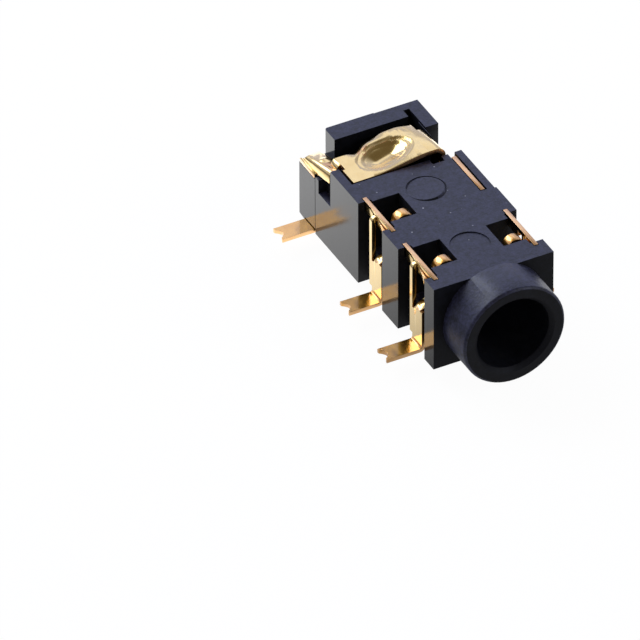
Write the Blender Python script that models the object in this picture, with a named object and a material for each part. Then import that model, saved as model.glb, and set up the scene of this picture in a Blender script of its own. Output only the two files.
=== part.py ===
"""Surface-mount audio jack socket for a 3.5 mm plug, with five contacts.

Seven pieces: a moulded housing, a moulded rear cover and five folded sheet-metal contacts.
Looking into the mouth, X points right, Y points away from the viewer and Z points up.
The housing's underside is on Z = 0, and the origin is midway between its two pegs.
Sizes named START, END or Y are measured from the housing's front face; the nose is before it.
"""

import math

import bmesh
import bpy
from mathutils import Matrix, Vector

MM = 0.001

# Housing block
BODY_WIDTH = 6.0 * MM
BODY_HEIGHT = 4.42 * MM
HOUSING_LENGTH = 11.22 * MM

# Nose and bore, both on the axis of the plug
NOSE_DIAMETER = 5.06 * MM
NOSE_LENGTH = 2.0 * MM
NOSE_EDGE_RADIUS = 0.16 * MM
BORE_DIAMETER = 3.6 * MM
MOUTH_CHAMFER = 0.2 * MM
AXIS_HEIGHT = 2.17 * MM

# Locating pegs under the housing
PEG_DIAMETER = 0.8 * MM
PEG_TAPER = 0.12 * MM
PEG_HEIGHT = 0.6 * MM
PEG_FRONT_Y = 3.35 * MM
PEG_PITCH = 6.6 * MM

# The origin lies midway between the pegs, this far behind the front face
ORIGIN_Y = PEG_FRONT_Y + PEG_PITCH / 2

# Round mould marks in the top face
MARK_DEPTH = 0.05 * MM
MARK_DIAMETER = 1.85 * MM
FRONT_MARK_Y = 2.2 * MM
REAR_MARK_X = 0.2 * MM
REAR_MARK_Y = 6.7 * MM

# Contact sheet, and the clearance it has in the mouldings
SHEET = 0.2 * MM
FIT = 0.03 * MM

# Side slots: start from the front face, length along Y, depth from the side wall
LEFT_FRONT_SLOT_START = 0.87 * MM
LEFT_FRONT_SLOT_LENGTH = 2.48 * MM
LEFT_MIDDLE_SLOT_START = 4.86 * MM
LEFT_MIDDLE_SLOT_LENGTH = 2.27 * MM
RIGHT_FRONT_SLOT_START = 1.03 * MM
RIGHT_FRONT_SLOT_LENGTH = 2.42 * MM
SIDE_SLOT_DEPTH = 0.65 * MM
REAR_SLOT_START = 9.5 * MM
REAR_SLOT_DEPTH = 0.78 * MM

# Window low in the right wall, between the front and the rear contact
WINDOW_START = 5.55 * MM
WINDOW_LENGTH = 1.2 * MM
WINDOW_HEIGHT = 3.1 * MM
WINDOW_DEPTH = 1.5 * MM

# Pockets in the top face, over the spring arms of the front and middle contacts
POCKET_LENGTH = 1.7 * MM
POCKET_MARGIN = 0.09 * MM
LEFT_POCKET_INNER = 1.03 * MM
RIGHT_POCKET_INNER = 1.24 * MM
POCKET_FLOOR = 1.8 * MM

# Front and middle contacts: the bar in its grooves
BAR_OFFSET = 2.55 * MM
BAR_OVERHANG = 0.25 * MM
BAR_HEIGHT = 0.57 * MM
BAR_RIM = 0.2 * MM
BAR_RISE = 0.02 * MM
WING_LENGTH = 0.88 * MM
WING_PAD = 0.12 * MM
WING_SPREAD = 0.2 * MM
RELIEF = 0.08 * MM

# Front and middle contacts: strip, leg and foot
LEG_OFFSET = 2.77 * MM
LEG_WIDTH = 0.9 * MM
STRIP_WIDTH = 0.23 * MM
LEFT_FRONT_LEG_START = 0.49 * MM
LEFT_MIDDLE_LEG_START = 0.32 * MM
RIGHT_FRONT_LEG_START = 1.45 * MM
LEFT_LEG_HEIGHT = 1.85 * MM
LEFT_LEG_SLANT = 0.3 * MM
RIGHT_LEG_HEIGHT = 0.95 * MM
LEFT_FOOT_REACH = 4.62 * MM
MIDDLE_FOOT_SETBACK = 0.14 * MM
RIGHT_FOOT_REACH = 4.4 * MM
FOOT_NOTCH = 0.26 * MM
FOOT_BEND = 0.2 * MM

# Spring arm: leans in from the leg, bows over the pocket and ends in a nose beside the bore
ARM_WIDTH = 0.5 * MM
ARM_INSET = 0.2 * MM
ARM_TURN_HEIGHT = 1.5 * MM
ARM_CLIMB = 1.1 * MM
RIGHT_FRONT_ARM_START = 0.44 * MM
LEFT_BOW_RADIUS = 0.38 * MM
LEFT_BOW_OFFSET = 1.55 * MM
RIGHT_BOW_RADIUS = 0.33 * MM
RIGHT_BOW_OFFSET = 1.9 * MM
BOW_RISE = 0.06 * MM
ARM_NOSE_OFFSET = 1.47 * MM
ARM_NOSE_HEIGHT = 2.8 * MM

# Rear right contact: a long bar behind a thin wall, and a leg in the last slot
REAR_BAR_OFFSET = 2.37 * MM
REAR_BAR_START = 5.45 * MM
REAR_BAR_LENGTH = 2.75 * MM
REAR_BAR_HEIGHT = 0.5 * MM
REAR_BAND_HEIGHT = 0.7 * MM
REAR_BAND_STEP = 0.52 * MM
REAR_BAND_OVERLAP = 0.8 * MM
REAR_LEG_START = 9.76 * MM
REAR_ARM_START = 5.78 * MM
REAR_ARM_WIDTH = 0.64 * MM
REAR_ARM_NOSE_OFFSET = 1.52 * MM
REAR_ARM_TAIL = 0.45 * MM
REAR_GROOVE_SIDE = 0.11 * MM
THIN_WALL_OUTER = 2.92 * MM
THIN_WALL_HEIGHT = 1.0 * MM
THIN_WALL_STEP = 0.1 * MM

# Rear bay in the housing, and the stepped left corner behind it: drops are from the top face
BAY_START = 8.5 * MM
BAY_FLOOR = 2.15 * MM
BAY_HALF_WIDTH = 2.2 * MM
RIB_THICKNESS = 0.42 * MM
RIB_END = 9.78 * MM
SHELF_DROP = 1.1 * MM
CORNER_DROP = 1.25 * MM
CORNER_NOTCH_LENGTH = 1.14 * MM
CORNER_NOTCH_DEPTH = 0.4 * MM
CORNER_NOTCH_HEIGHT = 0.7 * MM
NICK_OFFSET = 1.3 * MM
NICK_WIDTH = 0.6 * MM
NICK_LENGTH = 0.35 * MM
NICK_DEPTH = 0.6 * MM

# Rear cover
COVER_GAP = 0.04 * MM
COVER_LENGTH = 1.5 * MM
UNDER_TAPER = 0.2 * MM
LEDGE_DROP = 1.4 * MM
WALL_END = 1.73 * MM
WALL_THICKNESS = 0.97 * MM
WALL_CORNER = 0.14 * MM
WALL_STEP_X = 0.74 * MM
WALL_STEP = 0.04 * MM
COVER_ARM_WIDTH = 0.65 * MM
COVER_ARM_INSET = 0.05 * MM
COVER_ARM_HEIGHT = 1.25 * MM
COVER_SIDE_REACH = 0.16 * MM
CORNER_RELIEF_WIDTH = 0.3 * MM
CORNER_RELIEF_LENGTH = 0.5 * MM
BORE_END_WALL = 0.6 * MM

# Tip contact: the plate over the bay, arched on the right, with its oval pressing
PLATE_LEFT = 2.32 * MM
PLATE_RIGHT = 1.72 * MM
PLATE_START = 8.58 * MM
PLATE_LENGTH = 2.6 * MM
PLATE_CORNER_CUT = 0.6 * MM
PLATE_CORNER_ROUND = 0.18 * MM
PLATE_ARCH = 0.4 * MM
PLATE_ARCH_REAR = 0.14 * MM
EAR_WIDTH = 0.13 * MM
EAR_GAP = 0.4 * MM
MARGIN_SETBACK = 0.56 * MM
MARGIN_DROP = 0.85 * MM
MARGIN_RADIUS = 0.36 * MM
REAR_ROLL = 0.22 * MM
REAR_ROLL_WIDTH = 0.45 * MM
PRESSING_X = -0.28 * MM
PRESSING_SHIFT = 0.1 * MM
PRESSING_LENGTH = 3.0 * MM
PRESSING_MARGIN = 0.3 * MM
PRESSING_RIM_DEPTH = 0.07 * MM
PRESSING_DEPTH = 0.34 * MM
PRESSING_TURN = math.radians(9.0)

# Tip contact: the tab on the left that falls towards the rear, and its leg
NECK_WIDTH = 0.55 * MM
TAB_DROP = 0.27 * MM
TAB_FALL = 0.55 * MM
TAB_OUTER = 2.81 * MM
TAB_END = 12.3 * MM
TAB_FOLD = 0.12 * MM
FLANGE_RISE = 0.3 * MM
LIP_REACH = 3.0 * MM
LIP_END = 12.7 * MM
TIP_LEG_OFFSET = 2.1 * MM
TIP_LEG_START = 11.31 * MM
DIMPLE_X = -2.455 * MM
DIMPLE_Y = 11.36 * MM
DIMPLE_DIAMETER = 0.47 * MM
DIMPLE_HEIGHT = 0.08 * MM

# How finely round and curved faces are divided
ROUND_SEGMENTS = 64
FOOT_COLUMNS = 8
ARM_STEPS = 3
PLATE_COLUMNS = 44
PLATE_ROWS = 30
CLOSE = 0.035 * MM

HALF_WIDTH = BODY_WIDTH / 2
COVER_FRONT = HOUSING_LENGTH + COVER_GAP
COVER_REAR = COVER_FRONT + COVER_LENGTH
BORE_END = COVER_REAR - BORE_END_WALL
REAR_BAR_END = REAR_BAR_START + REAR_BAR_LENGTH
REAR_LEG_END = REAR_LEG_START + LEG_WIDTH
COVER_ARM_FRONT = REAR_LEG_END + 2 * FIT
REAR_NECK_Y = REAR_BAR_END - REAR_BAND_OVERLAP
TIP_LEG_END = TIP_LEG_START + LEG_WIDTH
BAR_TOP = BODY_HEIGHT + BAR_RISE
REAR_BAR_BOTTOM = BAR_TOP - REAR_BAR_HEIGHT
REAR_BAND_TOP = REAR_BAR_BOTTOM - REAR_BAND_STEP
REAR_BAND_BOTTOM = REAR_BAND_TOP - REAR_BAND_HEIGHT
LEDGE_HEIGHT = BODY_HEIGHT - LEDGE_DROP
PAST = 0.5 * MM


def clear_scene():
    for item in list(bpy.data.objects):
        bpy.data.objects.remove(item, do_unlink=True)


def make_material(name, colour, roughness, metallic):
    material = bpy.data.materials.new(name)
    material.use_nodes = True
    shader = material.node_tree.nodes["Principled BSDF"]
    shader.inputs["Base Color"].default_value = (*colour, 1.0)
    shader.inputs["Roughness"].default_value = roughness
    shader.inputs["Metallic"].default_value = metallic
    return material


def object_from(name, shape):
    """Links a shape drawn with Y from the front face, moved so that the origin is ORIGIN_Y."""
    bmesh.ops.translate(shape, vec=(0, -ORIGIN_Y, 0), verts=shape.verts)
    mesh = bpy.data.meshes.new(name)
    shape.to_mesh(mesh)
    shape.free()
    item = bpy.data.objects.new(name, mesh)
    bpy.context.scene.collection.objects.link(item)
    return item


def block(name, xs, ys, zs):
    """A box between three pairs of limits."""
    shape = bmesh.new()
    size = [max(pair) - min(pair) for pair in (xs, ys, zs)]
    middle = [(pair[0] + pair[1]) / 2 for pair in (xs, ys, zs)]
    bmesh.ops.create_cube(shape, size=1.0)
    bmesh.ops.scale(shape, vec=size, verts=shape.verts)
    bmesh.ops.translate(shape, vec=middle, verts=shape.verts)
    return object_from(name, shape)


def prism(name, outline, bottom, top):
    """An outline in X and Y extruded from bottom to top."""
    shape = bmesh.new()
    base = shape.faces.new([shape.verts.new((x, y, bottom)) for x, y in outline])
    raised = bmesh.ops.extrude_face_region(shape, geom=[base])
    moved = [part for part in raised["geom"] if isinstance(part, bmesh.types.BMVert)]
    bmesh.ops.translate(shape, vec=(0, 0, top - bottom), verts=moved)
    bmesh.ops.recalc_face_normals(shape, faces=shape.faces)
    return object_from(name, shape)


def smooth_round(item):
    item.data.shade_smooth()
    item.data.set_sharp_from_angle(angle=math.radians(35))
    return item


def turned(name, profile):
    """A closed solid of revolution about the plug axis, from (radius, y) points."""
    shape = bmesh.new()
    rings = []
    for radius, y in profile:
        ring = []
        for i in range(ROUND_SEGMENTS if radius > 0 else 1):
            turn = 2 * math.pi * i / ROUND_SEGMENTS
            place = (radius * math.cos(turn), y, AXIS_HEIGHT + radius * math.sin(turn))
            ring.append(shape.verts.new(place))
        rings.append(ring)
    for first, second in zip(rings, rings[1:]):
        for i in range(ROUND_SEGMENTS):
            j = (i + 1) % ROUND_SEGMENTS
            corners = [first[i % len(first)], first[j % len(first)]]
            corners += [second[j % len(second)], second[i % len(second)]]
            shape.faces.new(list(dict.fromkeys(corners)))
    bmesh.ops.recalc_face_normals(shape, faces=shape.faces)
    return smooth_round(object_from(name, shape))


def upright(name, x, y, radii, bottom, top):
    """A round post or a round recess that stands along Z."""
    shape = bmesh.new()
    bmesh.ops.create_cone(
        shape,
        cap_ends=True,
        segments=ROUND_SEGMENTS // 2,
        radius1=radii[0],
        radius2=radii[1],
        depth=top - bottom,
        matrix=Matrix.Translation((x, y, (top + bottom) / 2)),
    )
    return smooth_round(object_from(name, shape))


def combine(body, operation, parts):
    for part in parts:
        part.hide_render = True
        part.display_type = "WIRE"
        change = body.modifiers.new(part.name, "BOOLEAN")
        change.operation = operation
        change.solver = "EXACT"
        change.object = part


def arc(centre, radius, start, end, steps):
    """Points on a circle, from one angle in degrees to another, both ends included."""
    points = []
    for i in range(steps + 1):
        turn = math.radians(start + (end - start) * i / steps)
        across = centre[0] + radius * math.cos(turn)
        points.append((across, centre[1] + radius * math.sin(turn)))
    return points


def smooth_path(knots, steps):
    """A Catmull-Rom curve through the knots, so that a bent strip has no kinks."""
    points = [Vector(knot) for knot in knots]
    points.insert(0, points[0] * 2 - points[1])
    points.append(points[-1] * 2 - points[-2])
    path = []
    for p0, p1, p2, p3 in zip(points, points[1:], points[2:], points[3:]):
        for i in range(steps):
            t = i / steps
            spot = p1 * 2 + (p2 - p0) * t
            spot += (p0 * 2 - p1 * 5 + p2 * 4 - p3) * t**2
            spot += (p1 * 3 - p0 - p2 * 3 + p3) * t**3
            path.append(tuple(spot / 2))
    path.append(tuple(points[-2]))
    return path


def stations(needed, start, end, count):
    """The needed values in order, with evenly spaced ones wherever there is room."""
    values = sorted(set(needed))
    for i in range(count + 1):
        value = start + (end - start) * i / count
        if all(abs(value - other) > CLOSE for other in values):
            values.append(value)
    return sorted(values)


def within(values, start, end):
    slack = 0.001 * MM
    return [value for value in values if start - slack <= value <= end + slack]


class FoldedSheet:
    """The middle surface of a folded stamping, laid patch by patch, then thickened."""

    def __init__(self):
        self.shape = bmesh.new()
        self.corners = {}

    def corner(self, place):
        key = tuple(round(value / (0.002 * MM)) for value in place)
        if key not in self.corners:
            self.corners[key] = self.shape.verts.new(place)
        return self.corners[key]

    def patch(self, rows):
        """Quads between rows of places that all have the same number of columns."""
        for low, high in zip(rows, rows[1:]):
            for i in range(len(low) - 1):
                places = (low[i], low[i + 1], high[i + 1], high[i])
                corners = list(dict.fromkeys(self.corner(place) for place in places))
                if len(corners) > 2:
                    self.shape.faces.new(corners)

    def upright(self, x, ys, zs):
        """A flat stretch in a plane of constant X."""
        self.patch([[(x, y, z) for y in ys] for z in zs])

    def strip(self, side, path, ys):
        """A stretch bent only in X and Z, the same at every Y."""
        self.patch([[(side * x, y, z) for y in ys] for x, z in path])

    def sloped_strip(self, side, path_at, ys):
        """A stretch whose bends keep their radius while the path changes along Y."""
        paths = [path_at(y) for y in ys]
        self.patch([[(side * x, y, z) for y, (x, z) in zip(ys, row)] for row in zip(*paths)])

    def foot(self, side, leg_offset, reach, ys):
        """The bend at the bottom of a leg, and the flat foot with its swallow-tail end."""
        flat = SHEET / 2
        centre = (leg_offset + FOOT_BEND, flat + FOOT_BEND)
        rows = []
        for x, z in arc(centre, FOOT_BEND, 180, 270, 4):
            rows.append([(side * x, y, z) for y in ys])
        middle = (ys[0] + ys[-1]) / 2
        half = (ys[-1] - ys[0]) / 2
        tip = []
        for y in ys:
            cut = max(0.0, 1 - ((y - middle) / (0.78 * half)) ** 2)
            tip.append((side * (reach - FOOT_NOTCH * cut), y, flat))
        rows.append(tip)
        self.patch(rows)

    def solid(self, name, material):
        bmesh.ops.recalc_face_normals(self.shape, faces=self.shape.faces)
        item = object_from(name, self.shape)
        wall = item.modifiers.new("Sheet", "SOLIDIFY")
        wall.thickness = SHEET
        wall.offset = 0.0
        wall.use_even_offset = True
        wall.use_quality_normals = True
        item.data.materials.append(material)
        return smooth_round(item)


def bow_arm(leg_top, offset, radius):
    """The spring arm seen along Y: in from the leg, over its bow and down to its nose."""
    bow_height = BODY_HEIGHT + BOW_RISE - SHEET / 2 - radius
    outer = offset + radius
    inner = offset - radius
    turn = max(leg_top, ARM_TURN_HEIGHT)
    lean = LEG_OFFSET - outer
    knots = [
        (LEG_OFFSET, turn),
        (outer + 0.68 * lean, turn + 0.18 * ARM_CLIMB),
        (outer + 0.35 * lean, turn + 0.38 * ARM_CLIMB),
        (outer + 0.1 * lean, turn + 0.65 * ARM_CLIMB),
        (outer, turn + ARM_CLIMB),
        (outer, bow_height),
    ]
    if turn > leg_top:
        knots.insert(0, (LEG_OFFSET, leg_top))
    path = smooth_path(knots, ARM_STEPS)[:-1]
    path += arc((offset, bow_height), radius, 0, 180, 8)[:-1]
    drop = bow_height - ARM_NOSE_HEIGHT
    knots = [
        (inner, bow_height),
        ((inner + ARM_NOSE_OFFSET) / 2, bow_height - drop / 2),
        (ARM_NOSE_OFFSET, ARM_NOSE_HEIGHT),
        (ARM_NOSE_OFFSET + radius / 2, ARM_NOSE_HEIGHT - drop / 2),
    ]
    return path + smooth_path(knots, ARM_STEPS)


def side_contact(name, side, slot, leg, arm, strip, leg_height, slant, reach, material):
    """Bar, wing, strip, leg, foot and spring arm of a front or middle contact."""
    sheet = FoldedSheet()
    rim = BAR_TOP - BAR_RIM
    skirt = BAR_TOP - BAR_HEIGHT
    pad = strip[0] - RELIEF
    wing_root = pad - WING_PAD

    # The leg's stations also serve the strip, the arm and the foot.
    front = min(leg[0], arm[0])
    rear = max(leg[1], strip[1])
    plate = stations([*leg, *arm, *strip], leg[0], leg[1], FOOT_COLUMNS)
    foot = within(plate, *leg)
    hip = 2.5 * FOOT_BEND

    # The rim runs the full length; below it the skirt is cut for the strip and the wing.
    marks = [slot[0] - BAR_OVERHANG, wing_root, pad, *within(plate, *strip)]
    marks += [strip[1] + RELIEF, slot[1] + BAR_OVERHANG]
    sheet.upright(side * BAR_OFFSET, marks, (rim, BAR_TOP))
    sheet.upright(side * BAR_OFFSET, marks[1:3], (skirt, rim))
    sheet.upright(side * BAR_OFFSET, marks[-2:], (skirt, rim))

    # The wing is sheared free under the rim and sprung outwards against the slot.
    wing_length = min(WING_LENGTH, wing_root - slot[0] - SHEET)
    wing = []
    for i in range(5):
        along = i / 4
        x = side * (BAR_OFFSET + WING_SPREAD * along**1.4)
        y = wing_root - wing_length * along
        wing.append([(x, y, skirt), (x, y, rim - (RELIEF if i else 0.0))])
    sheet.patch(wing)

    def edge(y):
        """A point of the leg's slanted top edge."""
        slanted = leg_height + slant * (rear - y) / (rear - front)
        return (side * LEG_OFFSET, y, slanted)

    sheet.upright(side * LEG_OFFSET, foot, (FOOT_BEND + SHEET / 2, hip))
    sheet.patch([[(side * LEG_OFFSET, y, hip) for y in plate], [edge(y) for y in plate]])
    sheet.foot(side, LEG_OFFSET, reach, foot)

    # The strip leaves the rim outwards, turns down and runs along the slot to the leg.
    fold = (LEG_OFFSET - BAR_OFFSET) / 2
    path = arc((BAR_OFFSET + fold, rim), fold, 180, 270, 4)
    path += arc((BAR_OFFSET + fold, rim - 2 * fold), fold, 90, 0, 4)[1:]
    ys = within(plate, *strip)
    rows = [[(side * x, y, z) for y in ys] for x, z in path]
    sheet.patch([*rows, [edge(y) for y in ys]])

    # The spring arm starts from the leg's top edge.
    ys = within(plate, *arm)
    bow = (LEFT_BOW_OFFSET, LEFT_BOW_RADIUS)
    if side > 0:
        bow = (RIGHT_BOW_OFFSET, RIGHT_BOW_RADIUS)
    path = bow_arm(edge((arm[0] + arm[1]) / 2)[2], *bow)
    rows = [[(side * x, y, z) for y in ys] for x, z in path[1:]]
    sheet.patch([[edge(y) for y in ys], *rows])
    return sheet.solid(name, material)


def rear_right_contact(name, material):
    """Long bar with a lower band behind it, a leg in the last slot and a spring arm."""
    sheet = FoldedSheet()
    arm = (REAR_ARM_START, REAR_ARM_START + REAR_ARM_WIDTH)
    marks = [REAR_BAR_START, *arm, REAR_NECK_Y, REAR_BAR_END]
    sheet.upright(REAR_BAR_OFFSET, marks, (REAR_BAR_BOTTOM, BAR_TOP))
    sheet.upright(REAR_BAR_OFFSET, marks[-2:], (REAR_BAND_TOP, REAR_BAR_BOTTOM))
    foot = stations((), REAR_LEG_START, REAR_LEG_END, FOOT_COLUMNS)
    band = (REAR_BAND_BOTTOM, REAR_BAND_TOP)
    sheet.upright(REAR_BAR_OFFSET, [*marks[-2:], *foot], band)

    # The leg leaves the band outwards, turns down and ends in the foot.
    fold = (LEG_OFFSET - REAR_BAR_OFFSET) / 2
    middle = REAR_BAR_OFFSET + fold
    path = arc((middle, REAR_BAND_BOTTOM), fold, 180, 270, 5)
    path += arc((middle, REAR_BAND_BOTTOM - 2 * fold), fold, 90, 0, 5)[1:]
    path.append((LEG_OFFSET, FOOT_BEND + SHEET / 2))
    sheet.strip(1, path, foot)
    sheet.foot(1, LEG_OFFSET, RIGHT_FOOT_REACH, foot)

    # The arm runs down and in from the bar to its nose beside the bore.
    drop = REAR_BAR_BOTTOM - AXIS_HEIGHT
    reach = REAR_BAR_OFFSET - REAR_ARM_NOSE_OFFSET
    knots = [
        (REAR_BAR_OFFSET, REAR_BAR_BOTTOM),
        (REAR_BAR_OFFSET - 0.05 * reach, REAR_BAR_BOTTOM - 0.24 * drop),
        (REAR_BAR_OFFSET - 0.42 * reach, REAR_BAR_BOTTOM - 0.58 * drop),
        (REAR_ARM_NOSE_OFFSET, AXIS_HEIGHT),
        (REAR_ARM_NOSE_OFFSET + 0.4 * REAR_ARM_TAIL, AXIS_HEIGHT - REAR_ARM_TAIL),
    ]
    sheet.strip(1, smooth_path(knots, ARM_STEPS), arm)
    return sheet.solid(name, material)


def eased(value, start, end):
    """Rises smoothly from 0 at start to 1 at end."""
    share = min(1.0, max(0.0, (value - start) / (end - start)))
    return share * share * (3 - 2 * share)


def plate_place(x, row):
    """A point of the tip plate, from X and from the share of the way to its rear edge."""
    share = (x + PLATE_LEFT) / (PLATE_LEFT + PLATE_RIGHT)
    length = PLATE_LENGTH - PLATE_CORNER_CUT * (1 - eased(share, 0.2, 0.48))
    length -= PLATE_CORNER_ROUND * eased(share, 0.8, 1.0)
    y = PLATE_START + row * length
    arch = PLATE_ARCH + (PLATE_ARCH_REAR - PLATE_ARCH) * row
    level = BODY_HEIGHT - SHEET / 2 + arch * eased(share, 0.2, 0.95)
    to_rear = max(0.0, 1 - (1 - row) * length / REAR_ROLL_WIDTH)
    level -= REAR_ROLL * to_rear**2 * eased(share, 0.1, 0.33) * (1 - eased(share, 0.45, 0.7))
    return (x, y, level - pressing(x, y))


def pressing(x, y):
    """Depth of the oval pressing: a stepped rim round a smooth trough."""
    middle = PLATE_START + PLATE_LENGTH / 2 - PRESSING_SHIFT
    away = Matrix.Rotation(-PRESSING_TURN, 2) @ Vector((x - PRESSING_X, y - middle))
    across = away.x / (PRESSING_LENGTH / 2)
    along = away.y / (PLATE_LENGTH / 2 - PRESSING_MARGIN)
    radius = math.hypot(across, along)
    rim = PRESSING_RIM_DEPTH * (2 - eased(radius, 0.9, 1.0) - eased(radius, 0.7, 0.8))
    trough = (1 - eased(abs(along), 0.05, 0.72)) * (1 - eased(abs(across), 0.25, 0.78))
    return rim + (PRESSING_DEPTH - 2 * PRESSING_RIM_DEPTH) * trough


def tip_contact(name, material):
    """Plate over the rear bay, a low tab on the left and a leg that ends under the cover."""
    sheet = FoldedSheet()
    left = -PLATE_LEFT
    level = plate_place(left, 0.0)[2]
    neck_end = PLATE_START + PLATE_LENGTH - PLATE_CORNER_CUT
    left_length = neck_end - PLATE_START
    neck_start = neck_end - NECK_WIDTH
    ear_end = neck_start - EAR_GAP
    ear_row = (ear_end - PLATE_START) / left_length
    neck_row = (neck_start - PLATE_START) / left_length
    margin_row = 1 - MARGIN_SETBACK / PLATE_LENGTH
    xs = stations((), left, PLATE_RIGHT, PLATE_COLUMNS)
    shares = {ear_row, neck_row, margin_row, 1.0}
    for i in range(PLATE_ROWS):
        share = i / PLATE_ROWS
        if all(abs(share - other) * left_length > CLOSE for other in shares):
            shares.add(share)
    shares = sorted(shares)
    sheet.patch([[plate_place(x, share) for x in xs] for share in shares])
    ys = [plate_place(left, share)[1] for share in shares]

    # A narrow ear on the left closes the gap beside the housing's rib.
    ear = within(ys, PLATE_START, ear_end)
    sheet.patch([[(left - EAR_WIDTH, y, level), (left, y, level)] for y in ear])

    # The right margin is rolled down from the arch.
    path = arc((0.0, -MARGIN_RADIUS), MARGIN_RADIUS, 90, 12, 6)
    path.append((1.15 * path[-1][0], -MARGIN_DROP))
    margin = [plate_place(PLATE_RIGHT, share) for share in shares if share <= margin_row]
    rows = [[(x + out, y, z + rise) for x, y, z in margin] for out, rise in path]
    sheet.patch(rows)

    # The neck steps down from the plate's left edge to the tab, which falls to the rear.
    fold = TAB_FOLD
    bend = PLATE_LEFT + 2 * fold
    outer = TAB_OUTER - fold
    inner = TIP_LEG_OFFSET + fold
    offsets = stations([inner, bend, outer], inner, outer, 6)
    neck = within(ys, neck_start, neck_end)

    def tab_level(y):
        return level - TAB_DROP - TAB_FALL * (y - neck_start) / (TAB_END - neck_start)

    def neck_path(y):
        path = arc((PLATE_LEFT, level - fold), fold, 90, 0, 4)
        path += arc((bend, tab_level(y) + fold), fold, 180, 270, 4)
        return path + [(x, tab_level(y)) for x in within(offsets, bend, outer)[1:]]

    sheet.sloped_strip(-1, neck_path, neck)

    # Behind the neck the tab is wider and carries a round dimple.
    foot = stations((), TIP_LEG_START, TIP_LEG_END, FOOT_COLUMNS)
    start = neck_end + RELIEF

    def tab_place(x, y):
        away = math.hypot(-x - DIMPLE_X, y - DIMPLE_Y) / (DIMPLE_DIAMETER / 2)
        raised = DIMPLE_HEIGHT * (1 - away**2) if away < 1 else 0.0
        return (-x, y, tab_level(y) + raised)

    narrow = within(offsets, bend, outer)
    sheet.patch([[(-x, y, tab_level(y)) for x in narrow] for y in (neck_end, start)])
    rows = stations([start, *foot, TAB_END], start, foot[0], 6)
    sheet.patch([[tab_place(x, y) for x in offsets] for y in rows])

    # Its outer edge turns down and then out, as a lip that lies on the cover's ledge.
    lip = LEDGE_HEIGHT + SHEET / 2 + FIT

    def flange_path(y):
        path = arc((outer, tab_level(y) - fold), fold, 90, 0, 4)
        ahead = max(0.0, foot[0] - y) / (foot[0] - neck_start)
        return [*path, (TAB_OUTER, lip + fold + FLANGE_RISE * ahead)]

    def lip_path(y):
        path = arc((TAB_OUTER + fold, lip + fold), fold, 180, 270, 4)
        return [*path, (LIP_REACH, lip)]

    sheet.sloped_strip(-1, flange_path, [*neck, *rows])
    sheet.sloped_strip(-1, lip_path, within(rows, foot[0], TAB_END))

    # The rear edge of flange and lip is cut on the slant and reaches furthest at the lip.
    edge = flange_path(TAB_END)[:-1] + lip_path(TAB_END)
    longer = LIP_END - TAB_END
    slant = []
    for x, z in edge:
        down = (edge[0][1] - z) / (edge[0][1] - lip)
        slant.append([(-x, TAB_END, z), (-x, TAB_END + longer * down, z)])
    sheet.patch(slant)

    # The leg goes down through the cover and its foot comes out under the left side.
    def leg_path(y):
        path = arc((inner, tab_level(y) - fold), fold, 90, 180, 4)
        return [*path, (TIP_LEG_OFFSET, FOOT_BEND + SHEET / 2)]

    sheet.sloped_strip(-1, leg_path, foot)
    sheet.foot(-1, TIP_LEG_OFFSET, LEFT_FOOT_REACH, foot)
    return sheet.solid(name, material)


def nose_profile():
    """Outer profile of the nose; its root lies inside the housing block."""
    radius = NOSE_DIAMETER / 2
    root = 0.95 * min(AXIS_HEIGHT, radius)
    corner = (radius - NOSE_EDGE_RADIUS, -NOSE_LENGTH + NOSE_EDGE_RADIUS)
    profile = [(0.0, PAST), (root, PAST), (root, 0.0), (radius, 0.0)]
    profile += arc(corner, NOSE_EDGE_RADIUS, 0, -90, 5)
    return [*profile, (0.0, -NOSE_LENGTH)]


def bore_profile(rear):
    """The plug bore with its entry chamfer, as a cutter that ends at the given Y."""
    radius = BORE_DIAMETER / 2
    mouth = radius + MOUTH_CHAMFER
    front = -NOSE_LENGTH
    entry = [(0.0, front - PAST), (mouth, front - PAST), (mouth, front)]
    return [*entry, (radius, front + MOUTH_CHAMFER), (radius, rear), (0.0, rear)]


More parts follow.
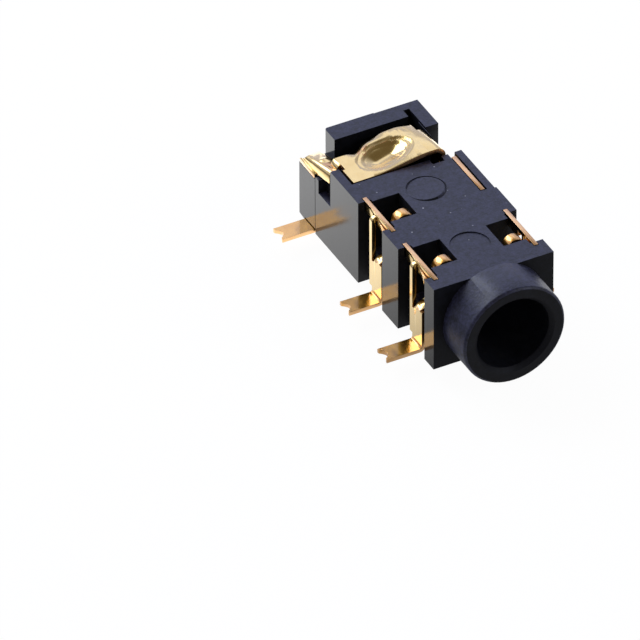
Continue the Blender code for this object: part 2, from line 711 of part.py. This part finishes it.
def housing(material, slots, pockets):
    """The main moulding: block, nose, bore, slots, grooves, pockets, rear bay and pegs."""
    wide = HALF_WIDTH
    deep = HALF_WIDTH - SIDE_SLOT_DEPTH
    rear_deep = HALF_WIDTH - REAR_SLOT_DEPTH
    left_front, left_middle, right_front = slots
    outline = [(-wide, 0.0), (wide, 0.0)]
    outline += [(wide, right_front[0]), (deep, right_front[0])]
    outline += [(deep, right_front[1]), (wide, right_front[1])]
    outline += [(wide, REAR_SLOT_START), (rear_deep, REAR_SLOT_START)]
    outline += [(rear_deep, HOUSING_LENGTH), (-wide, HOUSING_LENGTH)]
    for slot in (left_middle, left_front):
        outline += [(-wide, slot[1]), (-deep, slot[1]), (-deep, slot[0]), (-wide, slot[0])]
    body = prism("housing", outline, 0.0, BODY_HEIGHT)
    body.data.materials.append(material)
    top = BODY_HEIGHT + PAST

    nose = turned("nose", nose_profile())
    peg_radii = (PEG_DIAMETER / 2 - PEG_TAPER / 2, PEG_DIAMETER / 2)
    added = [nose]
    for label, y in (("front_peg", PEG_FRONT_Y), ("rear_peg", PEG_FRONT_Y + PEG_PITCH)):
        added.append(upright(label, 0.0, y, peg_radii, -PEG_HEIGHT, FIT))
    combine(body, "UNION", added)

    cuts = [turned("bore", bore_profile(HOUSING_LENGTH + PAST))]

    # Pockets over the spring arms, and grooves that take both ends of each bar.
    half = SHEET / 2 + FIT
    for label, side, slot, pocket in pockets:
        inner = RIGHT_POCKET_INNER if side > 0 else LEFT_POCKET_INNER
        xs = (side * inner, side * (deep + half))
        cuts.append(block(label + "_pocket", xs, pocket, (POCKET_FLOOR, top)))
        xs = (side * (BAR_OFFSET - half), side * (BAR_OFFSET + half))
        ys = (slot[0] - BAR_OVERHANG - FIT, slot[1] + BAR_OVERHANG + FIT)
        cuts.append(block(label + "_groove", xs, ys, (BAR_TOP - BAR_HEIGHT - FIT, top)))

    # Rear right contact: groove behind a thin wall, room for the arm, window in the side.
    inner = REAR_BAR_OFFSET - half
    outer = REAR_BAR_OFFSET + SHEET / 2 + REAR_GROOVE_SIDE
    ys = (REAR_BAR_START - FIT, BAY_START + PAST)
    low = REAR_BAR_BOTTOM - FIT
    cuts.append(block("rear_groove", (inner, outer), ys, (low, top)))
    ys = (REAR_NECK_Y - FIT, BAY_START + PAST)
    low = REAR_BAND_BOTTOM - FIT
    cuts.append(block("band_groove", (inner, REAR_BAR_OFFSET + half), ys, (low, top)))
    ys = (REAR_BAR_START - THIN_WALL_STEP, BAY_START + PAST)
    xs = (THIN_WALL_OUTER, wide + PAST)
    cuts.append(block("thin_wall_face", xs, ys, (BODY_HEIGHT - THIN_WALL_HEIGHT, top)))
    ys = (BAY_START, REAR_SLOT_START + PAST)
    cuts.append(block("wall_top", (BAY_HALF_WIDTH, wide + PAST), ys, (low, top)))
    ys = (WINDOW_START, WINDOW_START + WINDOW_LENGTH)
    xs = (wide - WINDOW_DEPTH, wide + PAST)
    cuts.append(block("window", xs, ys, (-PAST, WINDOW_HEIGHT)))
    ys = (REAR_ARM_START - 3 * FIT, REAR_ARM_START + REAR_ARM_WIDTH + 3 * FIT)
    xs = (wide - WINDOW_DEPTH, REAR_BAR_OFFSET + half)
    zs = (WINDOW_HEIGHT - FIT, REAR_BAR_BOTTOM + FIT)
    cuts.append(block("arm_passage", xs, ys, zs))

    # Rear bay, and the low left corner under the tip contact's tab.
    ys = (BAY_START, HOUSING_LENGTH + PAST)
    xs = (-BAY_HALF_WIDTH, BAY_HALF_WIDTH)
    cuts.append(block("bay", xs, ys, (BAY_FLOOR, top)))
    rib = -wide + RIB_THICKNESS
    cuts.append(block("bay_shelf", (rib, 0.0), ys, (BODY_HEIGHT - SHELF_DROP, top)))
    ys = (RIB_END, HOUSING_LENGTH + PAST)
    low = BODY_HEIGHT - CORNER_DROP
    cuts.append(block("low_corner", (-wide - PAST, 0.0), ys, (low, top)))
    xs = (-wide - PAST, -wide + CORNER_NOTCH_DEPTH)
    ys = (RIB_END, RIB_END + CORNER_NOTCH_LENGTH)
    cuts.append(block("corner_notch", xs, ys, (low - CORNER_NOTCH_HEIGHT, top)))
    xs = (NICK_OFFSET, NICK_OFFSET + NICK_WIDTH)
    ys = (BAY_START - NICK_LENGTH, BAY_START + PAST)
    cuts.append(block("nick", xs, ys, (BODY_HEIGHT - NICK_DEPTH, top)))

    marks = (("front_mark", 0.0, FRONT_MARK_Y), ("rear_mark", REAR_MARK_X, REAR_MARK_Y))
    for label, x, y in marks:
        radius = MARK_DIAMETER / 2
        cuts.append(upright(label, x, y, (radius, radius), BODY_HEIGHT - MARK_DEPTH, top))
    combine(body, "DIFFERENCE", cuts)
    return body


def rear_cover(material):
    """End cap with a blind end for the bore, a raised wall, an arm and a low ledge."""
    wide = HALF_WIDTH
    arm_outer = wide - COVER_ARM_INSET
    arm_inner = arm_outer - COVER_ARM_WIDTH
    side_front = COVER_FRONT - COVER_SIDE_REACH
    outline = [(-wide, COVER_FRONT), (arm_inner, COVER_FRONT), (arm_inner, side_front)]
    outline += [(wide, side_front), (wide, COVER_REAR), (-wide, COVER_REAR)]
    body = prism("rear_cover", outline, 0.0, LEDGE_HEIGHT)
    body.data.materials.append(material)

    # The raised wall and its arm share one plan, so that they meet flush.
    front = COVER_REAR - WALL_THICKNESS
    round_end = (-WALL_END + WALL_CORNER, COVER_REAR - WALL_CORNER)
    outline = arc(round_end, WALL_CORNER, 180, 90, 5)
    outline += [(WALL_STEP_X, COVER_REAR), (WALL_STEP_X, COVER_REAR - WALL_STEP)]
    outline += [(arm_outer, COVER_REAR - WALL_STEP), (arm_outer, COVER_ARM_FRONT)]
    outline += [(arm_inner, COVER_ARM_FRONT), (arm_inner, front)]
    outline += [(-WALL_END, front)]
    wall = prism("wall", outline, LEDGE_HEIGHT / 2, BODY_HEIGHT)
    under = (arm_inner - PAST, wide + PAST)
    ys = (COVER_ARM_FRONT - PAST, side_front)
    zs = (LEDGE_HEIGHT - PAST, BODY_HEIGHT - COVER_ARM_HEIGHT)
    under_arm = block("under_arm", under, ys, zs)
    combine(body, "UNION", [wall])

    xs = (arm_inner - CORNER_RELIEF_WIDTH, arm_inner)
    ys = (front - PAST, front + CORNER_RELIEF_LENGTH)
    relief = block("corner_relief", xs, ys, (LEDGE_HEIGHT, BODY_HEIGHT + PAST))
    blind = turned("blind_bore", bore_profile(BORE_END))
    half = SHEET / 2 + FIT
    xs = (-TIP_LEG_OFFSET - half, -TIP_LEG_OFFSET + half)
    ys = (COVER_FRONT - PAST, TIP_LEG_END + FIT)
    channel = block("leg_channel", xs, ys, (-PAST, LEDGE_HEIGHT + PAST))
    xs = (-wide - PAST, -TIP_LEG_OFFSET + half)
    recess = block("foot_recess", xs, ys, (-PAST, SHEET + 2 * FIT))

    # The underside rises towards the rear.
    ys = (COVER_FRONT - PAST, COVER_REAR + PAST)
    taper = block("under_taper", (-wide - PAST, wide + PAST), ys, (-PAST, 0.0))
    for corner in taper.data.vertices:
        if corner.co.z > -PAST / 2:
            behind = corner.co.y + ORIGIN_Y - COVER_FRONT
            corner.co.z = UNDER_TAPER * behind / COVER_LENGTH - FIT / 2
    combine(body, "DIFFERENCE", [under_arm, relief, blind, channel, recess, taper])
    return body


def span(slot_start, offset, length):
    start = slot_start + offset
    return (start, start + length)


def build():
    clear_scene()
    black = make_material("black_plastic", (0.016, 0.017, 0.022), 0.5, 0.0)
    gold = make_material("gold_plated_brass", (0.83, 0.56, 0.22), 0.24, 1.0)

    # Each front or middle contact is placed from the start of its own slot.
    layout = []
    left = ("left_front", "left_middle")
    starts = (LEFT_FRONT_SLOT_START, LEFT_MIDDLE_SLOT_START)
    lengths = (LEFT_FRONT_SLOT_LENGTH, LEFT_MIDDLE_SLOT_LENGTH)
    legs = (LEFT_FRONT_LEG_START, LEFT_MIDDLE_LEG_START)
    feet = (LEFT_FOOT_REACH, LEFT_FOOT_REACH - MIDDLE_FOOT_SETBACK)
    for label, start, length, leg_start, reach in zip(left, starts, lengths, legs, feet):
        leg = span(start, leg_start, LEG_WIDTH)
        arm = span(leg[0], ARM_INSET, ARM_WIDTH)
        strip = (leg[1], leg[1] + STRIP_WIDTH)
        shape = (LEFT_LEG_HEIGHT, LEFT_LEG_SLANT, reach)
        layout.append((label, -1, (start, start + length), leg, arm, strip, shape))
    start = RIGHT_FRONT_SLOT_START
    leg = span(start, RIGHT_FRONT_LEG_START, LEG_WIDTH)
    arm = span(start, RIGHT_FRONT_ARM_START, ARM_WIDTH)
    strip = span(arm[1], RELIEF, STRIP_WIDTH)
    slot = (start, start + RIGHT_FRONT_SLOT_LENGTH)
    shape = (RIGHT_LEG_HEIGHT, 0.0, RIGHT_FOOT_REACH)
    layout.append(("right_front", 1, slot, leg, arm, strip, shape))

    pockets = []
    for label, side, slot, leg, arm, strip, shape in layout:
        pocket = span(arm[0], -POCKET_MARGIN, POCKET_LENGTH)
        pockets.append((label, side, slot, pocket))
        side_contact("contact_" + label, side, slot, leg, arm, strip, *shape, gold)
    housing(black, [entry[2] for entry in layout], pockets)
    rear_cover(black)
    rear_right_contact("contact_right_rear", gold)
    tip_contact("contact_tip", gold)


build()
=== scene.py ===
import math

import bpy
from mathutils import Matrix, Vector
from mathutils.bvhtree import BVHTree


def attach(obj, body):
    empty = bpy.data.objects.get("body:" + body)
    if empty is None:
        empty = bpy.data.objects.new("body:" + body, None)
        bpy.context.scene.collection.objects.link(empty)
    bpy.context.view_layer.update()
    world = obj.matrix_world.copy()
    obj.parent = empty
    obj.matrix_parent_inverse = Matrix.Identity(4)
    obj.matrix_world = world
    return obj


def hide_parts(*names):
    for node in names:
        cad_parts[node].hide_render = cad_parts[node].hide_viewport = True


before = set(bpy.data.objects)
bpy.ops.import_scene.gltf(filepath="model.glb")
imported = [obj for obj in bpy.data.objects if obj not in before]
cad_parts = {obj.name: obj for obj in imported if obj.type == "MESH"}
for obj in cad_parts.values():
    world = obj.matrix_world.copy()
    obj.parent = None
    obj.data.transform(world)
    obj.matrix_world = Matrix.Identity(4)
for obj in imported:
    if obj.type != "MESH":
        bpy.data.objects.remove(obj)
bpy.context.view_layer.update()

# Housing. One moulding in black glass-filled nylon that carries everything else: the block, the
# nose with the plug bore, the slots for the contacts and two pegs for the board. Top and front
# come from a spark-eroded mould and are matt, the side walls from polished slides.
MM = 0.001
HOUSING_EDGE = 0.035 * MM
FRONT_FACE = -6.65 * MM
REAR_MARK = Vector((0.2 * MM, 0.05 * MM, 4.37 * MM))
MARK_GROOVE = 0.06 * MM
MARK_SHIFT = 0.035 * MM
MARK_LIFT = 0.06 * MM
MARK_TILT = math.radians(3.0)
AXIS_HEIGHT = 2.17 * MM
MOUTH_RADIUS = 2.02 * MM
BORE_END = 4.0 * MM
SIDE_WALL = 2.85 * MM
COVER_FRONT = 4.3 * MM
COVER_WALL_LEFT = -1.7 * MM


def linear(code):
    """The linear colour of an sRGB hex code, as a shader socket takes it."""
    parts = [int(code[i : i + 2], 16) / 255 for i in (1, 3, 5)]
    return (*(p / 12.92 if p <= 0.04045 else ((p + 0.055) / 1.055) ** 2.4 for p in parts), 1.0)


def add(material, kind, links=(), **settings):
    """Adds a shader node; links is {input: value or another node's output}."""
    made = material.node_tree.nodes.new("ShaderNode" + kind)
    for name, value in settings.items():
        setattr(made, name, value)
    for name, value in dict(links).items():
        if isinstance(value, bpy.types.NodeSocket):
            material.node_tree.links.new(value, made.inputs[name])
        else:
            made.inputs[name].default_value = value
    return made


def merged_copy(name, cad_node):
    """A copy of a CAD node's mesh with its loose triangles merged into whole flat faces."""
    bpy.ops.object.select_all(action="DESELECT")
    piece = bpy.data.objects.new(name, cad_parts[cad_node].data.copy())
    bpy.context.scene.collection.objects.link(piece)
    piece.data.materials.clear()
    piece.select_set(True)
    bpy.context.view_layer.objects.active = piece
    bpy.ops.object.mode_set(mode="EDIT")
    bpy.ops.mesh.select_all(action="SELECT")
    bpy.ops.mesh.remove_doubles(threshold=0.001 * MM)
    bpy.ops.mesh.dissolve_limited(angle_limit=math.radians(0.4))
    bpy.ops.object.mode_set(mode="OBJECT")
    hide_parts(cad_node)
    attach(piece, "root")
    return piece


def ease_edges(piece, width):
    """Rounds every sharp edge, as a mould or a tumbling barrel leaves it."""
    bevel = piece.modifiers.new("Eased edges", "BEVEL")
    bevel.width = width
    bevel.segments = 2
    bevel.limit_method = "ANGLE"
    bevel.angle_limit = math.radians(38)
    bevel.miter_outer = "MITER_ARC"
    bevel.use_clamp_overlap = True
    bpy.context.view_layer.objects.active = piece
    bpy.ops.object.modifier_apply(modifier=bevel.name)


def shade(piece):
    """Smooth edges between flat walls, so that only the rounding catches the light."""
    bpy.ops.object.select_all(action="DESELECT")
    piece.select_set(True)
    bpy.context.view_layer.objects.active = piece
    bpy.ops.object.shade_smooth_by_angle(angle=math.radians(60))
    flat = piece.modifiers.new("Flat walls", "WEIGHTED_NORMAL")
    flat.keep_sharp = True
    bpy.ops.object.modifier_apply(modifier=flat.name)


def nylon(name, body, grey, roughness, grain_height, specular, flecks):
    """Black glass-filled nylon: mottled pigment, mould grain and pale fibre ends or dust."""
    material = bpy.data.materials.new(name)
    material.use_nodes = True
    place = add(material, "TexCoord").outputs["Object"]
    # Pigment clouds of about 0.25 mm, a little bluer and paler than the body colour.
    clouds = add(material, "TexNoise", {"Vector": place, "Scale": 4000.0, "Detail": 4.0})
    # Mould grain of about 0.03 mm, drawn three times as coarse so that the render shows it.
    grain = add(material, "TexNoise", {"Vector": place, "Scale": 10000.0, "Detail": 2.0})
    mixed = add(material, "Math", {0: clouds.outputs["Fac"], 1: grain.outputs["Fac"]}, operation="ADD")
    spread = add(material, "MapRange", {"Value": mixed.outputs[0], "From Min": 0.75, "From Max": 1.25})
    pigment = add(
        material,
        "Mix",
        {0: spread.outputs[0], 6: linear(body), 7: linear(grey)},
        data_type="RGBA",
    )
    # Flecks up to 0.09 mm across in cells of 0.6 mm, fading out from 2 to 5 mm off the middle.
    cells = add(material, "TexVoronoi", {"Vector": place, "Scale": 1700.0}, feature="F1")
    near = add(material, "MapRange", {"Value": cells.outputs["Distance"], "From Min": 0.08, "From Max": 0.03})
    along = add(material, "SeparateXYZ", {0: place})
    middle = add(material, "Math", {0: along.outputs["Y"]}, operation="ABSOLUTE")
    here = add(
        material,
        "MapRange",
        {"Value": middle.outputs[0], "From Min": 2 * MM, "From Max": 5 * MM, "To Min": flecks, "To Max": 0.0},
    )
    fleck = add(material, "Math", {0: near.outputs[0], 1: here.outputs[0]}, operation="MULTIPLY")
    colour = add(
        material,
        "Mix",
        {0: fleck.outputs[0], 6: pigment.outputs[2], 7: linear("#E4E6EE")},
        data_type="RGBA",
    )
    rough = add(
        material,
        "MapRange",
        {"Value": grain.outputs["Fac"], "To Min": roughness - 0.08, "To Max": roughness + 0.08},
    )
    bump = add(
        material,
        "Bump",
        {"Height": mixed.outputs[0], "Strength": 0.6, "Distance": grain_height},
    )
    shader = material.node_tree.nodes["Principled BSDF"]
    shader.inputs["Specular IOR Level"].default_value = specular
    link = material.node_tree.links.new
    link(colour.outputs[2], shader.inputs["Base Color"])
    link(rough.outputs[0], shader.inputs["Roughness"])
    link(bump.outputs[0], shader.inputs["Normal"])
    return material


# One black nylon in three copies at three shades. The top's pigment, paler and bluer, is painted light. The
# front's pigment, a little darker than the side walls', is painted shade.
nylon_top_painted_light = nylon("nylon_spark_eroded_painted_top_light", "#1B1D2B", "#3A3C57", 0.4, 0.01 * MM, 0.5, 0.9)
nylon_front_painted_shade = nylon("nylon_coarse_spark_eroded_painted_shade", "#0A0B10", "#161820", 0.55, 0.006 * MM, 0.24, 0.0)
nylon_side = nylon("nylon_polished_slide", "#0C0D10", "#1A1C22", 0.16, 0.001 * MM, 0.42, 0.0)


def paint_nylon(piece):
    """Gives each face the finish of the mould half or slide that formed it. Faces left on the top
    material carry its painted light; fronts, upright walls, the bore and the underside carry painted shade.
    """
    for material in (nylon_top_painted_light, nylon_front_painted_shade, nylon_side):
        piece.data.materials.append(material)
    for face in piece.data.polygons:
        middle = face.center
        outside = abs(middle.x) > SIDE_WALL or (middle.y > COVER_FRONT and middle.x < COVER_WALL_LEFT)
        upright = abs(face.normal.z) < 0.3 and middle.y > FRONT_FACE
        in_bore = math.hypot(middle.x, middle.z - AXIS_HEIGHT) < MOUTH_RADIUS and middle.y < BORE_END
        if abs(face.normal.x) > 0.9 and outside:
            face.material_index = 2
        # Painted shade: the fronts, every upright face that is not a polished outer wall, the bore and the
        # underside take the darker front pigment.
        elif face.normal.y < -0.9 or upright or in_bore or middle.z < 0.0:
            face.material_index = 1


housing = merged_copy("housing_moulding", "housing")
ease_edges(housing, HOUSING_EDGE)

# The rear mark is left by a pin that stood askew: its disc leans, proud on the near right side.
bpy.ops.object.mode_set(mode="EDIT")
bpy.ops.mesh.select_mode(type="FACE")
bpy.ops.mesh.select_all(action="DESELECT")
bpy.ops.object.mode_set(mode="OBJECT")
for face in housing.data.polygons:
    face.select = (face.center - REAR_MARK).length < 0.1 * MM and face.normal.z > 0.99
bpy.ops.object.mode_set(mode="EDIT")
bpy.ops.mesh.inset(thickness=MARK_GROOVE)
bpy.ops.mesh.extrude_region_move(TRANSFORM_OT_translate={"value": (-MARK_SHIFT, MARK_SHIFT, MARK_LIFT)})
for axis in ("X", "Y"):
    bpy.ops.transform.rotate(value=MARK_TILT, orient_axis=axis, center_override=REAR_MARK)
bpy.ops.object.mode_set(mode="OBJECT")
shade(housing)
paint_nylon(housing)

# Rear cover. A second moulding in the same nylon, pressed in behind the housing once the tip
# contact is in place. It closes the bore, and its raised wall and arm guard the spring plate.
COVER_EDGE = 0.05 * MM
cover = merged_copy("rear_cover_moulding", "rear_cover")
ease_edges(cover, COVER_EDGE)
shade(cover)
paint_nylon(cover)

# Front and middle contacts. Stamped from 0.2 mm phosphor bronze strip that is already gold plated,
# then folded and pushed into the side slots. The sheared rims therefore show the bare bronze. The
# spring arms and solder feet take a deeper amber gold: painted shade and painted gold-on-gold
# reflection from the dark pockets and the underside.
CONTACT_EDGE = 0.022 * MM
SHEET = 0.2 * MM
FOOT_TOP = 0.3 * MM
ARM_OFFSET = 2.4 * MM


def plated(name, bright, dull, roughness, wave_height):
    """Metal strip with slightly uneven colour, rolling lines and soft waves."""
    material = bpy.data.materials.new(name)
    material.use_nodes = True
    place = add(material, "TexCoord").outputs["Object"]
    # Uneven plating in patches of about 0.5 mm.
    patches = add(material, "TexNoise", {"Vector": place, "Scale": 2000.0, "Detail": 3.0})
    colour = add(
        material,
        "Mix",
        {0: patches.outputs["Fac"], 6: linear(bright), 7: linear(dull)},
        data_type="RGBA",
    )
    # Rolling lines run along the strip, 0.03 mm apart and about 1 mm long.
    along = add(material, "Mapping", {"Vector": place, "Scale": (30000.0, 1000.0, 30000.0)})
    lines = add(material, "TexNoise", {"Vector": along.outputs[0], "Scale": 1.0, "Detail": 1.0})
    rough = add(
        material,
        "MapRange",
        {"Value": lines.outputs["Fac"], "To Min": roughness - 0.06, "To Max": roughness + 0.06},
    )
    waves = add(material, "TexNoise", {"Vector": place, "Scale": 1600.0, "Detail": 1.0})
    bump = add(
        material,
        "Bump",
        {"Height": waves.outputs["Fac"], "Strength": 0.5, "Distance": wave_height},
    )
    shader = material.node_tree.nodes["Principled BSDF"]
    shader.inputs["Metallic"].default_value = 1.0
    # The clear anti-tarnish film whitens the bright reflections.
    shader.inputs["Coat Weight"].default_value = 1.0
    shader.inputs["Coat IOR"].default_value = 1.9
    shader.inputs["Coat Roughness"].default_value = 0.12
    link = material.node_tree.links.new
    link(colour.outputs[2], shader.inputs["Base Color"])
    link(rough.outputs[0], shader.inputs["Roughness"])
    link(bump.outputs[0], shader.inputs["Normal"])
    return material


gold_flash = plated("gold_flash_on_rolled_bronze", "#F5D582", "#E2B95F", 0.2, 0.035 * MM)
gold_amber_painted_shade = plated("amber_gold_painted_shade_on_rolled_bronze", "#F8BE56", "#E09A30", 0.3, 0.06 * MM)
bronze_rim = plated("bare_bronze_sheared_rim", "#F7C986", "#E0983F", 0.34, 0.01 * MM)


def stamping(name, cad_node, arm_offset):
    """A contact; rolled faces have the sheet's other side behind them, and sheared rims don't."""
    contact = merged_copy(name, cad_node)
    ease_edges(contact, CONTACT_EDGE)
    shade(contact)
    for metal in (gold_flash, gold_amber_painted_shade, bronze_rim):
        contact.data.materials.append(metal)
    faces = contact.data.polygons
    solid = BVHTree.FromPolygons([v.co for v in contact.data.vertices], [f.vertices for f in faces])
    for face in faces:
        depth = solid.ray_cast(face.center - face.normal * 0.001 * MM, -face.normal)[3]
        if depth is None or depth > 1.08 * SHEET:
            face.material_index = 2
        # Painted shade: the feet and the arms further in than arm_offset take the amber gold.
        elif face.center.z < FOOT_TOP or abs(face.center.x) < arm_offset:
            face.material_index = 1


for label in ("left_front", "left_middle", "right_front"):
    stamping("contact_strip_" + label, "contact_" + label, ARM_OFFSET)

# Rear right contact. The same plated strip: a long bar behind the thin wall, a band below it and
# a leg in the last slot.
REAR_ARM_OFFSET = 1.9 * MM
stamping("contact_strip_right_rear", "contact_right_rear", REAR_ARM_OFFSET)

# Tip contact. The broadest stamping, dropped in from above before the cover goes on: an arched
# plate with an oval pressing that stiffens it, a low tab with a dimple, and a leg.
stamping("contact_plate_tip", "contact_tip", 0.0)

# Floor and backdrop. A white sheet that reads as pure white and keeps a faint shadow. In glossy
# rays it glows as a painted reflection.
FLOOR_SIDE = 400 * MM
bpy.ops.object.select_all(action="DESELECT")
bpy.ops.mesh.primitive_plane_add(size=FLOOR_SIDE, location=(0, 0, -0.605 * MM))
floor = bpy.context.object
floor.name = "floor"
paper = bpy.data.materials.new("white_paper_sweep_painted_reflection")
paper.use_nodes = True
path = add(paper, "LightPath")
camera_ray = path.outputs["Is Camera Ray"]
seen = add(paper, "Math", {0: camera_ray, 1: path.outputs["Is Glossy Ray"]}, operation="MAXIMUM")
share = add(paper, "Math", {0: seen.outputs[0], 1: 0.94}, operation="MULTIPLY")
# The polished walls mirror the sheet, which glows for them as a painted reflection: dim in front,
# up to nearly twice white behind the socket, and dark from a few millimetres to its left.
along = add(paper, "SeparateXYZ", {0: add(paper, "TexCoord").outputs["Object"]})
behind = add(
    paper,
    "MapRange",
    {"Value": along.outputs["Y"], "From Min": -6 * MM, "From Max": 9 * MM, "To Min": 0.42, "To Max": 1.9},
)
beside = add(
    paper,
    "MapRange",
    {"Value": along.outputs["X"], "From Min": -9.5 * MM, "From Max": -6.5 * MM, "To Min": 0.1},
)
painted_reflection_patch = add(paper, "Math", {0: behind.outputs[0], 1: beside.outputs[0]}, operation="MULTIPLY")
painted_reflection_strength = add(paper, "Mix", {0: camera_ray, 2: painted_reflection_patch.outputs[0], 3: 1.03}, data_type="FLOAT")
glow = add(paper, "Emission", {"Color": linear("#FFFFFF"), "Strength": painted_reflection_strength.outputs[0]})
matt = paper.node_tree.nodes["Principled BSDF"]
matt.inputs["Base Color"].default_value = linear("#F4F4F4")
matt.inputs["Roughness"].default_value = 0.9
blend = add(paper, "MixShader", {0: share.outputs[0], 1: matt.outputs[0], 2: glow.outputs[0]})
paper.node_tree.links.new(blend.outputs[0], paper.node_tree.nodes["Material Output"].inputs["Surface"])
floor.data.materials.append(paper)

# Light tent. White walls behind and beside with a cool daylight tint. The opening overhead and
# the photographer's side stay dark, so that hollows and fronts read black.
world = bpy.data.worlds.new("light_tent")
bpy.context.scene.world = world
world.use_nodes = True
path = add(world, "LightPath")
aim = add(world, "SeparateXYZ", {0: add(world, "TexCoord").outputs["Generated"]})
opening = add(world, "MapRange", {"Value": aim.outputs["Z"], "From Min": 0.9, "From Max": 0.74})
behind = add(world, "MapRange", {"Value": aim.outputs["Y"], "From Min": 0.0, "From Max": 0.6, "To Min": 0.15})
lit = add(world, "Math", {0: opening.outputs[0], 1: behind.outputs[0]}, operation="MULTIPLY")
wall = add(
    world,
    "Mix",
    {0: lit.outputs[0], 6: (0.13, 0.11, 0.08, 1.0), 7: (0.60, 0.64, 0.90, 1.0)},
    data_type="RGBA",
)
sky = world.node_tree.nodes["Background"]
world.node_tree.links.new(wall.outputs[2], sky.inputs["Color"])
sky.inputs["Strength"].default_value = 1.0
white = add(world, "Background", {"Color": linear("#FFFFFF"), "Strength": 1.0})
blend = add(world, "MixShader", {0: path.outputs["Is Camera Ray"], 1: sky.outputs[0], 2: white.outputs[0]})
world.node_tree.links.new(blend.outputs[0], world.node_tree.nodes["World Output"].inputs["Surface"])

# Lamps. Soft panels behind and beside the socket, as round a small part on a light table. The one
# behind on the right is small and near, so that the top grows darker towards its ends.
MIDDLE = Vector((0, 0, 2 * MM))
for name, turn, height, distance, size, power in (
    ("panel_back_left", 112.0, 38.0, 0.35, 0.2, 0.5),
    ("panel_back_right", 62.0, 38.0, 0.06, 0.026, 0.0012),
    ("panel_right", -40.0, 30.0, 0.4, 0.2, 0.26),
):
    lamp = bpy.data.lights.new(name, "AREA")
    lamp.size = size
    lamp.energy = power
    lamp.color = (0.82, 0.88, 1.0)
    holder = bpy.data.objects.new(name, lamp)
    bpy.context.scene.collection.objects.link(holder)
    around = math.radians(turn)
    above = math.radians(height)
    back = Vector((math.cos(around) * math.cos(above), math.sin(around) * math.cos(above), math.sin(above)))
    aimed = back.to_track_quat("Z", "Y").to_matrix().to_4x4()
    holder.matrix_world = Matrix.Translation(MIDDLE + back * distance) @ aimed

# Camera. The photograph's angle, from the front left and above, through a long lens.
SCALE = 22.53 / MM
DISTANCE = 641 * MM
SHIFT_RIGHT = 440.3 - 320
SHIFT_UP = 320 - 244.7
turn = math.radians(-27.6)
height = math.radians(37.61)
back = Vector((math.sin(turn) * math.cos(height), -math.cos(turn) * math.cos(height), math.sin(height)))
right = Vector((math.cos(turn), math.sin(turn), 0.0))
up = back.cross(right)
roll = Matrix.Rotation(math.radians(-0.2), 3, back)
right = roll @ right
up = roll @ up
known = Vector((0.0, -1.65 * MM, 2.5 * MM))
place = known + back * DISTANCE - right * SHIFT_RIGHT / SCALE - up * SHIFT_UP / SCALE
lens = bpy.data.cameras.new("camera")
lens.sensor_width = 36.0
lens.lens = SCALE * DISTANCE * 36.0 / 640
lens.clip_start = 10 * MM
lens.clip_end = 5.0
camera = bpy.data.objects.new("camera", lens)
bpy.context.scene.collection.objects.link(camera)
camera.matrix_world = Matrix.Translation(place) @ Matrix((right, up, back)).transposed().to_4x4()
bpy.context.scene.camera = camera

bpy.context.scene.view_settings.view_transform = "Standard"
